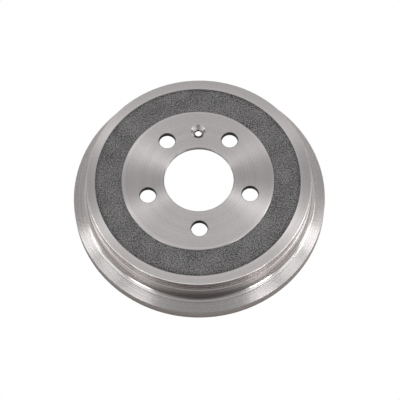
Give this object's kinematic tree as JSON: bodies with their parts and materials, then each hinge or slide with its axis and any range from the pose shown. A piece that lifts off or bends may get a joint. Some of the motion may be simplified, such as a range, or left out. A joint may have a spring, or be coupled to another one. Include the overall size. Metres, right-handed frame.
{
  "type": "brake drum",
  "caption": "Cast-iron brake drum: a round closed face that a wheel bolts to, a deep turned barrel that the shoes press on, and a flanged open rim.",
  "frame": {"origin": "centre of the open rim, at the bottom of the drum's box", "axes": "+Z along the drum's axis towards the closed mounting face, -Y through the stud hole that lies nearest the viewer, +Y through the locating-screw hole"},
  "size_m": [0.2386, 0.2386, 0.049],
  "materials": {
    "cast_iron": "turned bright on the faces that run true, rough as cast on the ring round the mounting face and on the web inside"
  },
  "bodies": {
    "root": {"brake_drum": "cast_iron"}
  },
  "joints": []
}
